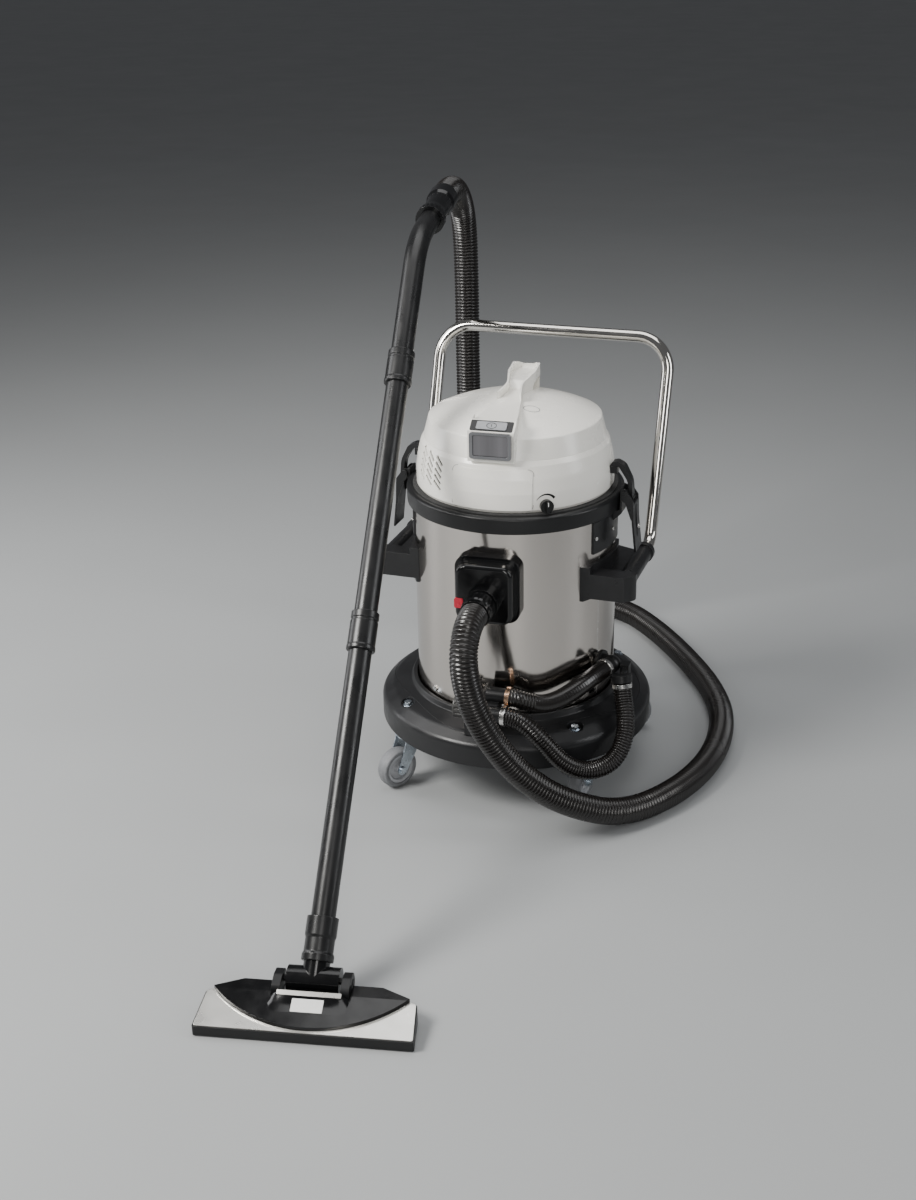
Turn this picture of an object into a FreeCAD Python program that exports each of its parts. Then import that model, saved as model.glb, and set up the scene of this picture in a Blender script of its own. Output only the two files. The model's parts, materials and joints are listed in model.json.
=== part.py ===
import FreeCAD, Part
import math
import os
from FreeCAD import Vector as V

os.makedirs("parts", exist_ok=True)

# Wet-and-dry shop vacuum, in millimetres. +Z is up, -Y is the front, +X is the machine's right.
# It is drawn about the tank's axis with the floor at z = 0, and everything is moved together at
# the end so that the origin is the middle of the footprint of its bounding box.

# ---------------------------------------------------------------- driving dimensions
# dolly
dolly_r = 250.0
dolly_bottom = 104.0
deck_top = 152.0
plateau_top = 166.0
pocket_floor = 155.0
dolly_wall = 5.0
caster_circle_r = 222.0
caster_angles = {"fl": 225.0, "fr": 315.0, "rr": 45.0, "rl": 135.0}
# way each wheel trails from its swivel at rest, degrees from +X
caster_trail_angles = {"fl": 238.0, "fr": 82.0, "rr": 14.0, "rl": 128.0}
caster_offset = 30.0
wheel_r = 38.0
wheel_width = 25.0
axle_r = 4.0
kingpin_r = 5.0
# tank and collar
tank_r = 181.0
tank_wall = 1.5
tank_floor = 152.0
tank_top = 528.0
collar_r = 193.5
collar_bottom = 521.0
collar_top = 551.0
# head: it sits a few degrees round from the dolly's centreline
front_turn = 3.2
head_bottom = 553.0
band_top = 640.0
dome_sphere_r = 345.0
dome_top = 710.0
head_wall = 3.0
knob_angle = 31.0
# inlet on the tank's front
inlet_z = 412.0
inlet_face = 228.0
inlet_bore_r = 21.0
cuff_end = 284.0
# tank outlet on the right and drain valve in front
outlet_angle = -15.0
outlet_z = 240.0
outlet_r = 15.0
outlet_reach = 17.0
outlet_knee_r = tank_r + 21
valve_z = 205.0
# hoses
main_hose_od = 48.0
main_hose_id = 40.0
drain_hose_od = 33.0
drain_hose_id = 27.0
# push handle
handle_tube_od = 22.0
handle_half_width = 220.0
handle_bar = (248.0, 760.0)
handle_elbow = (121.0, 408.0)
handle_front_y = -62.0
handle_corner_r = 62.0
# wand
wand_od = 37.5
wand_id = 33.5
sleeve_od = 45.0
wand_foot = V(-60.0, -815.0, 42.0)
wand_bend = V(-180.0, 18.0, 962.0)
wand_end_dir = V(-0.118, 0.977, 0.174)
wand_bend_r = 150.0
wand_cuff_start = 96.0
wand_cuff_end = 216.0
# floor nozzle
nozzle_yaw = 11.3
nozzle_half = 163.0
hinge_v = 95.0
hinge_z = 42.0
hinge_pin_r = 5.0
# latches
latch_pivot = (203.0, 550.0)
latch_hook_pin = (212.0, 541.0)
pin_r = 2.5
fit_gap = 0.05


# ---------------------------------------------------------------- helpers
def unit(v):
    return V(v).normalize()


def corner_edges(corners, closed=True):
    """Edges through the corners, each corner a vector and a rounding radius."""
    count = len(corners)
    ends = []
    for i, (point, radius) in enumerate(corners):
        open_end = not closed and i in (0, count - 1)
        if radius <= 0 or open_end:
            ends.append((point, point, None))
            continue
        back = unit(corners[i - 1][0] - point)
        ahead = unit(corners[(i + 1) % count][0] - point)
        half = back.getAngle(ahead) / 2
        cut = radius / math.tan(half)
        bisector = unit(back + ahead)
        middle = point + bisector * (radius / math.sin(half) - radius)
        ends.append((point + back * cut, point + ahead * cut, middle))
    edges = []
    for i, (start, stop, middle) in enumerate(ends):
        if middle is not None:
            edges.append(Part.Arc(start, middle, stop).toShape())
        if i == count - 1 and not closed:
            break
        after = ends[(i + 1) % count][0]
        if (after - stop).Length > 1e-6:
            edges.append(Part.LineSegment(stop, after).toShape())
    return edges


def profile(points, place):
    """Closed face from (a, b) or (a, b, radius) corners; place turns (a, b) into a point."""
    corners = [(place(p[0], p[1]), p[2] if len(p) > 2 else 0) for p in points]
    return Part.Face(Part.Wire(corner_edges(corners)))


def xz(a, b):
    return V(a, 0, b)


def turned(points):
    """Solid of revolution about Z from (radius, z) corners."""
    return profile(points, xz).revolve(V(0, 0, 0), V(0, 0, 1), 360)


def prism_x(points, x0, x1):
    """Extrusion along X of an outline in (y, z)."""
    return profile(points, lambda a, b: V(x0, a, b)).extrude(V(x1 - x0, 0, 0))


def prism_y(points, y0, y1):
    """Extrusion along Y of an outline in (x, z)."""
    return profile(points, lambda a, b: V(a, y0, b)).extrude(V(0, y1 - y0, 0))


def prism_z(points, z0, z1):
    """Extrusion along Z of an outline in (x, y)."""
    return profile(points, lambda a, b: V(a, b, z0)).extrude(V(0, 0, z1 - z0))


def slab(x0, x1, y0, y1, radius):
    """Rounded rectangle as an outline."""
    return [(x0, y0, radius), (x1, y0, radius), (x1, y1, radius), (x0, y1, radius)]


def rod(start, direction, radius, length):
    return Part.makeCylinder(radius, length, V(start), V(direction))


def pipe(start, direction, outer, inner, length):
    bore = rod(V(start) - unit(direction), direction, inner, length + 2)
    return rod(start, direction, outer, length).cut(bore)


def at_angle(shape, degrees, centre=V(0, 0, 0)):
    copy = shape.copy()
    copy.rotate(centre, V(0, 0, 1), degrees)
    return copy


def moved(shape, offset):
    copy = shape.copy()
    copy.translate(offset)
    return copy


def mirrored_x(shape):
    return shape.mirror(V(0, 0, 0), V(1, 0, 0))


def union(shapes):
    result = shapes[0]
    for shape in shapes[1:]:
        result = result.fuse(shape)
    return result.removeSplitter()


def group(shapes):
    solids = []
    for shape in shapes:
        solids.extend(shape.Solids)
    return Part.makeCompound(solids)


def front(shape):
    """Turns a shape drawn on the -Y centreline to where the head and the inlet face."""
    return at_angle(shape, front_turn)


def front_point(x, y, z):
    a = math.radians(front_turn)
    return V(x * math.cos(a) - y * math.sin(a), x * math.sin(a) + y * math.cos(a), z)


def swept(edges, radius):
    """Round section swept along a chain of tangent edges."""
    wire = Part.Wire(edges)
    start = edges[0].valueAt(edges[0].FirstParameter)
    tangent = edges[0].tangentAt(edges[0].FirstParameter)
    section = Part.Wire(Part.makeCircle(radius, start, tangent))
    return wire.makePipeShell([section], True, False)


def route_edges(name, points):
    """Straight runs joined by tangent arcs; each arc is as large as its two runs allow."""
    corners = [(V(*points[0]), 0)]
    radii = []
    for i in range(1, len(points) - 1):
        before, here, after = V(*points[i - 1]), V(*points[i]), V(*points[i + 1])
        turn = (here - before).getAngle(after - here)
        shorter = min((here - before).Length, (after - here).Length)
        radius = 0.45 * shorter / math.tan(turn / 2)
        radii.append(radius)
        corners.append((here, radius))
    corners.append((V(*points[-1]), 0))
    print(name, "bend radii:", [round(r) for r in radii])
    return corner_edges(corners, closed=False)


def hose(name, points, outer, inner):
    edges = route_edges(name, points)
    tube = swept(edges, outer / 2).cut(swept(edges, inner / 2))
    length = sum(edge.Length for edge in edges)
    section = math.pi * (outer ** 2 - inner ** 2) / 4
    print(name, "length", round(length), "volume over section times length",
          round(tube.Volume / (section * length), 4))
    return tube


parts = {}


# ---------------------------------------------------------------- dolly and casters
def caster_point(name, z):
    a = math.radians(caster_angles[name])
    return V(caster_circle_r * math.cos(a), caster_circle_r * math.sin(a), z)


def make_dolly():
    outer = [(0, deck_top), (183.5, deck_top), (183.5, 180, 2), (191, 180, 3), (195, plateau_top + 4, 3),
             (228, plateau_top - 6, 20), (dolly_r, 143, 14), (dolly_r, dolly_bottom), (0, dolly_bottom)]
    body = turned(outer)
    hollow = turned([(0, deck_top - dolly_wall), (187, deck_top - dolly_wall, 3), (228, 144, 8),
                     (dolly_r - dolly_wall, 134, 8), (dolly_r - dolly_wall, 100), (0, 100)])
    body = body.cut(hollow)
    for name in caster_angles:
        boss = rod(caster_point(name, dolly_bottom), V(0, 0, 1), 24, pocket_floor - dolly_bottom + 2)
        body = body.fuse(boss)
    envelope = turned(outer)
    body = body.common(envelope)
    for name in caster_angles:
        pocket = prism_z(slab(-15, 15, -11, 11, 10.9), pocket_floor, 220)
        pocket = at_angle(pocket, caster_angles[name] + 90)
        body = body.cut(moved(pocket, caster_point(name, 0)))
        body = body.cut(rod(caster_point(name, 90), V(0, 0, 1), kingpin_r + 0.1, 80))
    return body


def make_caster_stem(name):
    """Top plate, kingpin with its lower head, and the nut in the deck's pocket."""
    plate = rod(caster_point(name, 100.5), V(0, 0, 1), 23, dolly_bottom - 100.5)
    pin = rod(caster_point(name, 90.5), V(0, 0, 1), kingpin_r, pocket_floor + 4 - 90.5)
    head = rod(caster_point(name, 88), V(0, 0, 1), 9, 2.5)
    washer = rod(caster_point(name, pocket_floor), V(0, 0, 1), 9.5, 1.5)
    nut = Part.makePolygon([V(7.5 * math.cos(math.radians(60 * i)), 7.5 * math.sin(math.radians(60 * i)), 0)
                            for i in range(7)])
    nut = moved(Part.Face(nut).extrude(V(0, 0, 6)), caster_point(name, pocket_floor + 1.5))
    return union([plate, pin, head, washer, nut])


def caster_frame(shape, name):
    """Places a shape drawn with its wheel trailing along +X at its own caster."""
    return moved(at_angle(shape, caster_trail_angles[name]), caster_point(name, 0))


def make_fork():
    crown = rod(V(0, 0, 93.3), V(0, 0, 1), 22, 6.9)
    leg_y = wheel_width / 2 + 2
    outline = [(-16, 99), (-16, 88, 6), (caster_offset - 11, wheel_r - 4, 7), (caster_offset, wheel_r - 12, 8),
               (caster_offset + 11, wheel_r - 4, 7), (20, 88, 6), (20, 99)]
    legs = [prism_y(outline, leg_y, leg_y + 2.6), prism_y(outline, -leg_y - 2.6, -leg_y)]
    bridge = Part.makeBox(36, 2 * leg_y + 5.2, 5.7, V(-16, -leg_y - 2.6, 93.3))
    fork = union([crown, bridge] + legs)
    fork = fork.cut(rod(V(0, 0, 80), V(0, 0, 1), kingpin_r + fit_gap, 40))
    fork = fork.cut(rod(V(0, 0, 80), V(0, 0, 1), 9.4, 13.2))
    hole = rod(V(caster_offset, -30, wheel_r), V(0, 1, 0), axle_r, 60)
    fork = fork.cut(hole)
    shank = rod(V(caster_offset, -leg_y - 2.6, wheel_r), V(0, 1, 0), axle_r, 2 * leg_y + 5.2)
    heads = [rod(V(caster_offset, leg_y + 2.6, wheel_r), V(0, 1, 0), 6.5, 4),
             rod(V(caster_offset, -leg_y - 6.6, wheel_r), V(0, 1, 0), 6.5, 4)]
    return group([fork, union([shank] + heads)])


def wheel_solid(points):
    """Solid of revolution about the axle line from (radius, width) corners, at the fork's wheel place."""
    solid = turned(points)
    solid.rotate(V(0, 0, 0), V(1, 0, 0), 90)
    return moved(solid, V(caster_offset, 0, wheel_r))


def make_tyre():
    h = wheel_width / 2
    return wheel_solid([(28, -h, 1.5), (wheel_r - 3, -h, 4), (wheel_r, -5, 6), (wheel_r, 5, 6),
                        (wheel_r - 3, h, 4), (28, h, 1.5)])


def make_hub():
    h = wheel_width / 2
    web = [(axle_r + fit_gap, -h - 1), (10, -h - 1, 1), (10, -3, 2), (22, -3, 2), (22, -h + 2, 1), (28, -h + 2),
           (28, h - 2), (22, h - 2, 1), (22, 3, 2), (10, 3, 2), (10, h + 1, 1), (axle_r + fit_gap, h + 1)]
    return wheel_solid(web)


parts["base_dolly"] = make_dolly()
parts["caster_stems"] = group([make_caster_stem(name) for name in caster_angles])
for name in caster_angles:
    parts["caster_fork_" + name] = caster_frame(make_fork(), name)
    parts["caster_tyre_" + name] = caster_frame(make_tyre(), name)
    parts["caster_hub_" + name] = caster_frame(make_hub(), name)


# ---------------------------------------------------------------- tank, collar and what it carries
def make_tank():
    wall = tank_wall
    body = turned([(0, tank_floor), (tank_r, tank_floor, 8), (tank_r, tank_top), (tank_r - wall, tank_top),
                   (tank_r - wall, tank_floor + wall, 6.5), (0, tank_floor + wall)])
    body = body.cut(front(rod(V(0, -150, inlet_z), V(0, -1, 0), inlet_bore_r + 4, 60)))
    body = body.cut(rod(V(0, -150, valve_z), V(0, -1, 0), 12, 60))
    outlet = at_angle(rod(V(150, 0, outlet_z), V(1, 0, 0), 12, 60), outlet_angle)
    return body.cut(outlet)


def make_collar():
    return turned([(tank_r + 0.1, collar_bottom), (collar_r - 1, collar_bottom, 2), (collar_r, collar_top - 3, 4),
                   (188, collar_top, 3), (176, collar_top, 1), (176, tank_top + 0.3), (tank_r + 0.1, tank_top + 0.3)])


def make_tank_screws():
    """Four round-headed screws that hold the tank's foot, and the rivets of the side brackets."""
    screws = []
    for degrees in (-90 - 36, -90 + 43, 90 - 40, 90 + 40):
        screws.append(at_angle(rod(V(tank_r, 0, 192), V(1, 0, 0), 5, 3), degrees))
    for side in (0, 180):
        for degrees, z in ((-24, 486), (-6, 486)):
            turn = degrees if side == 0 else 180 - degrees
            screws.append(at_angle(rod(V(tank_r + 3, 0, z), V(1, 0, 0), 3.5, 2), turn))
    return group(screws)


def rounded_box_front(x, z0, z1, radius, y0, y1):
    return prism_y(slab(-x, x, z0, z1, radius), y0, y1)


def make_inlet_housing():
    flange = rounded_box_front(57, 364, 482, 22, -160, -200)
    rear = rounded_box_front(52, 369, 477, 20, -200, -208)
    body = rounded_box_front(50, 370, 476, 20, -208, -inlet_face)
    edges = [edge for edge in body.Edges
             if all(abs(vertex.Point.y + inlet_face) < 0.01 for vertex in edge.Vertexes)]
    body = body.makeFillet(7, edges)
    housing = union([flange, rear, body])
    housing = housing.cut(rod(V(0, 0, 300), V(0, 0, 1), tank_r + 0.02, 250))
    housing = housing.cut(rod(V(0, -150, inlet_z), V(0, -1, 0), inlet_bore_r, 100))
    pocket = Part.makeBox(16.6, 17, 18.6, V(-51.3, -inlet_face - 1, 396.7))
    return front(housing.cut(pocket))


def make_release_button():
    body = prism_y(slab(-50.6, -35.1, 397.1, 414.9, 3), -214.5, -inlet_face - 1.5)
    return front(body)


def make_inlet_socket():
    return front(pipe(V(0, -inlet_face, inlet_z), V(0, -1, 0), 29, inlet_bore_r, 16))


def fluted_ring(radius, inner, length, flutes, depth):
    """Ring along +Z with grooves down its outside."""
    ring = pipe(V(0, 0, 0), V(0, 0, 1), radius, inner, length)
    for i in range(flutes):
        a = 2 * math.pi * i / flutes
        groove = rod(V(radius * math.cos(a), radius * math.sin(a), 4), V(0, 0, 1), depth, length)
        ring = ring.cut(groove)
    return ring


def along(shape, start, direction):
    """Places a shape drawn along +Z so that it starts at a point and runs along a direction."""
    copy = shape.copy()
    turn = FreeCAD.Rotation(V(0, 0, 1), unit(direction))
    copy.Placement = FreeCAD.Placement(V(start), turn).multiply(copy.Placement)
    return copy


def make_inlet_cuff():
    spigot = pipe(V(0, 0, 0), V(0, 0, 1), inlet_bore_r - fit_gap, 16, 50)
    body = turned([(16, 50), (24, 50, 1), (27.5, 54, 2), (27.5, 76, 2), (25.5, 80, 1), (25.5, cuff_end - 195),
                   (16, cuff_end - 195)])
    for i in range(18):
        a = 2 * math.pi * i / 18
        body = body.cut(rod(V(28 * math.cos(a), 28 * math.sin(a), 56), V(0, 0, 1), 1.8, 60))
    return front(along(union([spigot, body]), V(0, -195, inlet_z), V(0, -1, 0)))


main_hose_route = [
    tuple(front_point(0, -cuff_end - 0.3, inlet_z)), (17.6, -315, 412), (19, -342, 395), (20.7, -358, 365),
    (25, -356, 318), (37, -347, 262), (66, -331, 195), (112, -308, 128), (176, -272, 72), (258, -208, 28),
    (333, -94, 24.4), (371, 50, 24.4), (361, 205, 24.4), (312, 330, 24.4), (235, 452, 24.4), (150, 563, 24.4),
    (60, 653, 24.4), (-60, 688, 24.4), (-160, 640, 24.4), (-209, 556, 36), (-223, 476, 102), (-226, 428, 192),
    (-225, 404, 310), (-220, 397, 460), (-221, 394, 640), (-222, 398, 800), (-223.5, 396, 921),
    (-219.9, 354.4, 981.5), (-212.6, 287.6, 1010), tuple(wand_bend + unit(wand_end_dir) * (wand_cuff_end + 0.3))]


drain_hose_start = V(47.3, -239, 207)
drain_hose_end = V(224, -92, 226.7)
drain_hose_route = [
    tuple(drain_hose_start), (69, -239, 207), (97, -243, 195), (126, -241, 166), (150, -232, 132), (178, -216, 108),
    (209, -192, 101), (233, -164, 111), (243, -138, 141), (238, -115, 177), (228, -98, 204), tuple(drain_hose_end)]
drain_end_dir = unit(drain_hose_end - V(*drain_hose_route[-2]))
link_hose_start = V(47.3, -211, 230)
link_end_dir = unit(V(9.45, 27.33, 0.3))
outlet_knee = V(outlet_knee_r * math.cos(math.radians(outlet_angle)),
                outlet_knee_r * math.sin(math.radians(outlet_angle)), outlet_z)
link_hose_route = [
    tuple(link_hose_start), (66, -211, 230), (84, -206, 223), (106, -195, 215), (129, -177, 217), (150, -153, 226),
    (168, -125, 235), (180, -96, 239.5), tuple(outlet_knee - link_end_dir * (outlet_reach + 0.3))]


def make_outlet_elbow():
    """Elbow from the tank's side down into the link hose."""
    stub = rod(V(tank_r + 0.02, 0, outlet_z), V(1, 0, 0), outlet_r, 21)
    stub = at_angle(stub, outlet_angle)
    knee = Part.makeSphere(outlet_r + 1.2, outlet_knee)
    mouth = rod(outlet_knee, -link_end_dir, outlet_r, outlet_reach)
    flange = at_angle(rod(V(tank_r - 4, 0, outlet_z), V(1, 0, 0), 21, 7), outlet_angle)
    flange = flange.cut(rod(V(0, 0, 100), V(0, 0, 1), tank_r + 0.02, 300))
    return union([stub, knee, mouth, flange])


def make_drain_valve():
    """Cross pipe at the front of the tank's foot, with its stub, foot and two outlets."""
    cross = rod(V(-24, -222, valve_z), V(1, 0, 0), 17, 62)
    stub = rod(V(0, -222, valve_z), V(0, 1, 0), 15, 55)
    stub = stub.cut(rod(V(0, 0, 100), V(0, 0, 1), tank_r + 0.02, 300))
    foot = Part.makeBox(46, 26, valve_z - 156, V(-22, -236, 156)).cut(parts["base_dolly"])
    outlets = [rod(start - V(33.3, 0, 0), V(1, 0, 0), 14, 33) for start in (drain_hose_start, link_hose_start)]
    return union([cross, stub, foot] + outlets)


def make_hose_holder():
    """Peg on the deck's edge that closes the parked end of the drain hose."""
    post = Part.makeBox(16, 20, 88, V(212, -60, 156)).cut(parts["base_dolly"])
    cap_start = drain_hose_end + drain_end_dir * 0.3
    cap = rod(cap_start, drain_end_dir, drain_hose_od / 2 + 2.5, 13)
    arm_end = cap_start + drain_end_dir * 7
    arm_start = V(220, -52, arm_end.z)
    arm = rod(arm_start, arm_end - arm_start, 6, (arm_end - arm_start).Length - 12)
    return union([post, arm, cap])


def make_drain_cap():
    ring = turned([(0, 0), (20, 0, 2), (20.5, 4, 1), (20.5, 18, 2), (0, 18)])
    for i in range(14):
        a = 2 * math.pi * i / 14
        ring = ring.cut(rod(V(21 * math.cos(a), 21 * math.sin(a), -1), V(0, 0, 1), 2.2, 15))
    return along(ring, V(-24.4, -222, valve_z), V(-1, 0, 0))


def make_filter_cage():
    """Open cage under the motor plate that keeps the float ball in line."""
    ring = pipe(V(0, 0, 377), V(0, 0, 1), 40, 30, 4)
    bars = []
    for i in range(6):
        bars.append(at_angle(rod(V(35, 0, 380), V(0, 0, 1), 3, 153.8), 60 * i))
    floor = union([Part.makeBox(76, 6, 4, V(-38, -3, 377)), Part.makeBox(6, 76, 4, V(-3, -38, 377))])
    top = pipe(V(0, 0, 530), V(0, 0, 1), 60, 22, 3.8)
    return union([ring, floor, top] + bars)


def make_filter():
    """Pleated cartridge round the cage."""
    sleeve = pipe(V(0, 0, 385), V(0, 0, 1), 68, 62, 130)
    collar = pipe(V(0, 0, 515), V(0, 0, 1), 84, 62, 8)
    foot = pipe(V(0, 0, 381), V(0, 0, 1), 72, 62, 4)
    return union([sleeve, collar, foot])


parts["tank"] = make_tank()
parts["collar_ring"] = make_collar()
parts["tank_screws"] = make_tank_screws()
parts["inlet_housing"] = make_inlet_housing()
parts["inlet_socket"] = make_inlet_socket()
parts["release_button"] = make_release_button()
parts["inlet_cuff"] = make_inlet_cuff()
parts["main_hose"] = hose("main_hose", main_hose_route, main_hose_od, main_hose_id)
parts["drain_fittings"] = group([make_drain_valve(), make_outlet_elbow(), make_hose_holder()])
parts["drain_cap"] = make_drain_cap()
parts["drain_hose"] = hose("drain_hose", drain_hose_route, drain_hose_od, drain_hose_id)
parts["drain_link_hose"] = hose("drain_link_hose", link_hose_route, drain_hose_od, drain_hose_id)
parts["float_ball"] = Part.makeSphere(19, V(0, 0, 400))
parts["filter_cage"] = make_filter_cage()
parts["filter_cartridge"] = make_filter()


# ---------------------------------------------------------------- head
def band_outline(grow=0.0):
    return [(172 + grow, head_bottom), (175 + grow, 558), (175 + grow, 586, 60), (171.5 + grow, 610, 60),
            (166 + grow, 632, 6), (161.2 + grow, band_top, 1)]


def make_head_band():
    inner = [(158, band_top), (158, 637), (160.5, 636.5, 2), (163, 631, 6), (168.5, 609.4, 60),
             (172, 585.7, 60), (172, 560), (169.5, 557), (169.5, head_bottom)]
    band = turned(band_outline() + inner)
    slots = []
    for column, middle in enumerate((-36.0, -44.5, -53.0)):
        for row in range(5):
            slot = Part.makeBox(22, 30, 5.4, V(-11, -185, -2.7))
            slot.rotate(V(0, 0, 0), V(0, 1, 0), 36)
            slot.translate(V(0, 0, 582 + 10.5 * row + 2.0 * column))
            slots.append(at_angle(slot, middle))
    vents = front(group(slots))
    band = band.cut(vents)
    knob_hole = at_angle(rod(V(0, -150, 565), V(0, -1, 0), 3 + fit_gap, 40), knob_angle)
    band = band.cut(front(knob_hole))
    for side in (0, 180):
        band = band.cut(at_angle(Part.makeBox(30, 19, 14, V(168, -9.5, 583)), side))
    gland = rod(V(0, 150, 575), V(0, 1, 0), 6, 40)
    return band.cut(gland)


def dome_solid(sphere_r, rim_r, crease_r, crease_z, round_r):
    """Solid under the domed top: a cone cut by a sphere about the head's centre, its rim rounded."""
    centre = V(0, 0, dome_top - dome_sphere_r)
    ball = Part.makeSphere(sphere_r, centre)
    cone = turned([(0, crease_z), (crease_r, crease_z), (rim_r, 740), (0, 740)])
    solid = cone.common(ball)
    edges = [edge for edge in solid.Edges
             if edge.Closed and abs(edge.BoundBox.ZMax - edge.BoundBox.ZMin) < 0.01
             and edge.BoundBox.ZMax > crease_z + 5]
    return solid.makeFillet(round_r, edges)


def dome_envelope():
    return dome_solid(dome_sphere_r, 134.5, 160.8, band_top, 3)


def make_head_dome():
    inner = dome_solid(dome_sphere_r - head_wall, 131.3, 157.6, band_top - 0.5, 2)
    return dome_envelope().cut(inner)


facet_low = (-169.0, 693.0)
facet_high = (-150.0, 707.0)
handle_tip = (90.0, 743.0)


def handle_plan(wall):
    """Plan of the carry handle, a given wall inside its outline: wide at the switch, waisted, round behind."""
    half = [(40 - wall, -171 + 7 * wall, 3), (40 - wall, -150, 10), (14 - wall, 0, 60), (25 - wall, 50, 40),
            (25 - wall, 86 - wall, 30), (12 - 0.6 * wall, 119 - 5 * wall, 10)]
    return half + [(-x, y, radius) for x, y, radius in reversed(half)]


def make_carry_handle():
    """Raised prow behind the switch, hollowed from above, with a finger gap through its rear."""
    side = [(-169, band_top), facet_low + (2,), facet_high + (3,), handle_tip + (16,), (118, 727, 14),
            (121, 690, 4), (121, 660), (-140, band_top)]
    body = prism_x(side, -45, 45).common(prism_z(handle_plan(0), 630, 800))
    body = body.cut(prism_x([(36, 680), (41, 716, 8), (56, 721, 8), (92, 721, 8), (100, 680)], -50, 50))
    trough_side = [(-147, 701), (-80, 707), (8, 716, 10), (24, 727, 10), (100, 729, 8), (104, 800), (-147, 800)]
    trough = prism_x(trough_side, -45, 45).common(prism_z(handle_plan(3.5), 630, 800))
    body = body.cut(trough).cut(dome_envelope())
    return front(body.cut(button_pocket()).cut(button_stem(2.4, 20)))


def facet_frame(shape):
    """Places a shape drawn on the XY plane, Z outward, onto the switch's sloped facet."""
    across = V(0, facet_high[0] - facet_low[0], facet_high[1] - facet_low[1])
    slope = math.degrees(math.atan2(across.z, across.y))
    middle = V(0, (facet_high[0] + facet_low[0]) / 2, (facet_high[1] + facet_low[1]) / 2)
    copy = shape.copy()
    copy.rotate(V(0, 0, 0), V(1, 0, 0), slope)
    return moved(copy, middle)


def button_pocket():
    return facet_frame(prism_z(slab(-26.3, 26.3, -8.3, 8.3, 3.3), -5, 12))


def button_stem(radius, length):
    return facet_frame(rod(V(0, 0, -4.5 - length), V(0, 0, 1), radius, length + 2))


def make_power_button():
    cap = facet_frame(prism_z(slab(-26, 26, -8, 8, 3), -1.5, 1.8))
    stem = facet_frame(rod(V(0, 0, -10.5), V(0, 0, 1), 2.35, 9.5))
    return front(union([cap, stem]))


def make_switch_bezel():
    frame = prism_y(slab(-36, 36, 646, 692, 5), -173.5, -169)
    window = prism_y(slab(-30, 30, 651.5, 687.5, 3), -175, -168)
    return front(frame.cut(window))


def make_switch_lens():
    return front(prism_y(slab(-29.8, 29.8, 651.7, 687.3, 2.8), -172.2, -169))


def make_front_panel():
    skin = turned([(120, 556)] + [(p[0], max(p[1], 556)) for p in band_outline(0.9)[1:4]]
                  + [(167.4, 630), (120, 630)])
    skin = skin.cut(turned([(0, head_bottom)] + band_outline() + [(0, band_top)]))
    outline = [(-69, 556), (69, 556), (69, 626, 9), (-69, 626, 9)]
    return front(skin.common(prism_y(outline, -190, -120)))


def make_suction_knob():
    knob = rod(V(0, 0, 0.5), V(0, 0, 1), 11.5, 8)
    grip = prism_z(slab(-3, 3, -10.5, 10.5, 2.9), 8, 14)
    shaft = rod(V(0, 0, -9), V(0, 0, 1), 3, 10)
    shape = along(union([knob, grip, shaft]), V(0, -175, 565), V(0, -1, 0))
    return front(at_angle(shape, knob_angle))


def make_motor_plate():
    """Plate that closes the head's underside and drops a rim into the tank."""
    plate = turned([(45, 553), (169.2, 553), (169.2, 556.8), (45, 556.8)])
    rim = turned([(164, 534), (168, 534), (168, 554), (164, 554)])
    hub = turned([(24, 534), (64, 534), (64, 538), (50, 542, 3), (50, 556), (45, 556), (45, 540), (24, 540)])
    return union([plate, rim, hub])


def make_motor():
    """Suction motor: fan housing below, motor can above, with the bearing bore up its middle."""
    housing = turned([(62, 557), (66, 557), (66, 596), (40, 596), (40, 592), (62, 592)])
    can = turned([(5 + fit_gap, 640), (10, 640), (10, 652), (38, 652), (38, 592), (41, 592), (41, 660), (12, 660),
                  (12, 668), (5 + fit_gap, 668)])
    return union([housing, can])


def make_rotor():
    """Shaft with the fan wheel and the armature."""
    shaft = rod(V(0, 0, 562), V(0, 0, 1), 5, 104)
    fan = turned([(4, 564), (58, 564), (58, 565.5), (4, 565.5)])
    vanes = []
    for i in range(9):
        vane = Part.makeBox(38, 1.5, 16, V(18, -0.75, 565))
        vane.rotate(V(18, 0, 0), V(0, 0, 1), 35)
        vanes.append(at_angle(vane, 40 * i))
    top = turned([(16, 580), (58, 580), (58, 581.5), (16, 581.5)])
    armature = rod(V(0, 0, 604), V(0, 0, 1), 28, 34)
    return union([shaft, fan, top, armature] + vanes)


def make_gasket():
    return turned([(169.8, collar_top), (182, collar_top), (182, head_bottom), (169.8, head_bottom)])


def make_cable_gland():
    return pipe(V(0, 168, 575), V(0, 1, 0), 6, 3.5, 12).fuse(pipe(V(0, 175.2, 575), V(0, 1, 0), 10, 3.5, 9))


parts["head_band"] = make_head_band()
parts["head_dome"] = make_head_dome()
parts["carry_handle"] = make_carry_handle()
parts["switch_bezel"] = make_switch_bezel()
parts["switch_lens"] = make_switch_lens()
parts["power_button"] = make_power_button()
parts["front_panel"] = make_front_panel()
parts["suction_knob"] = make_suction_knob()
parts["gasket"] = make_gasket()
parts["motor_plate"] = make_motor_plate()
parts["motor"] = make_motor()
parts["motor_rotor"] = make_rotor()
parts["cable_gland"] = make_cable_gland()


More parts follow.
